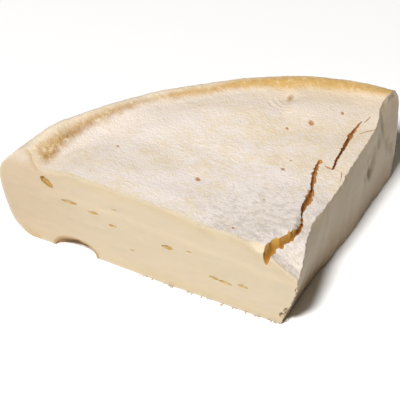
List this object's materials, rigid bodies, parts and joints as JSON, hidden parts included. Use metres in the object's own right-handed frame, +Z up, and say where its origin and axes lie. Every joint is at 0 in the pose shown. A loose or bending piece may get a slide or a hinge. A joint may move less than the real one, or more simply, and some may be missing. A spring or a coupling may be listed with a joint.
{
  "type": "washed-rind cheese wedge",
  "caption": "Wedge of soft washed-rind cheese cut from a flat round wheel, with a raised rim, a cracked and sunken crust at the point and small slit eyes in the cut.",
  "frame": {"origin": "middle of the footprint, on the plane of the base", "axes": "+Z up from the base, +Y from the wedge's point towards its rim, +X to the right seen from the point, so the short cut faces +X and the long cut faces -X"},
  "size_m": [0.0858, 0.0704, 0.0212],
  "materials": {
    "cheese": "dry powdery rind with white bloom over ochre; smooth ivory paste, faintly moist, on the two cuts"
  },
  "bodies": {
    "root": {"reblochon_wedge": "cheese"}
  },
  "joints": []
}
